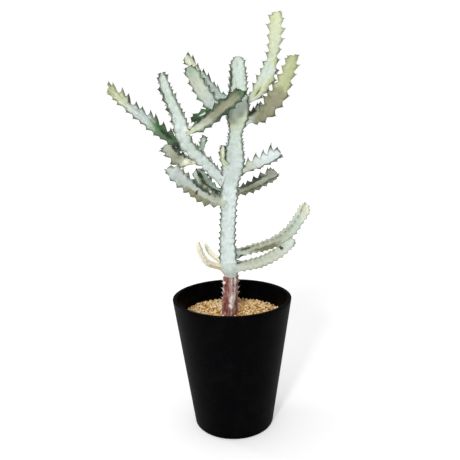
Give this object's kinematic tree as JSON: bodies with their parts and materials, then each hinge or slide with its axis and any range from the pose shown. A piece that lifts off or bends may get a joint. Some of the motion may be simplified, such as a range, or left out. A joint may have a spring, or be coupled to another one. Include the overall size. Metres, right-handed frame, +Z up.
{
  "type": "potted euphorbia",
  "caption": "Upright succulent with a grafted white ribbed stem and toothed side branches on a brown stock, in a tapered round black plastic pot filled with soil under a granule top layer.",
  "frame": {"origin": "centre of the pot's foot, on the plane that it stands on", "axes": "+Z up along the pot's axis, +X to the plant's right as seen from its front, +Y to its back"},
  "size_m": [0.3905, 0.2396, 0.8085],
  "materials": {
    "pot_plastic": "matte near-black with a soft sheen",
    "soil": "loose, rough",
    "gravel": "loose granules, rough",
    "stock_bark": "corky, rough",
    "stem_white": "waxy, satin",
    "stem_cream": "waxy, satin",
    "stem_green": "waxy, satin"
  },
  "bodies": {
    "root": {"pot": "pot_plastic", "potting_soil": "soil", "gravel_dressing": "gravel", "rootstock": "stock_bark", "main_stem": "stem_white", "left_limb": "stem_white", "mid_left_front": "stem_white", "mid_left_back": "stem_white", "mid_right_upper": "stem_white", "mid_right_lower": "stem_white", "upper_left": "stem_white", "limb_lower": "stem_white", "low_right_back": "stem_white", "low_right_front": "stem_white", "low_left_long": "stem_cream", "low_left_short": "stem_cream", "right_arm": "stem_cream", "right_tall": "stem_cream", "upper_left_back": "stem_cream", "small_left": "stem_green", "right_inner": "stem_green", "green_back": "stem_green", "limb_shoot": "stem_green", "far_left": "stem_green", "crossing_arm": "stem_green"}
  },
  "joints": []
}
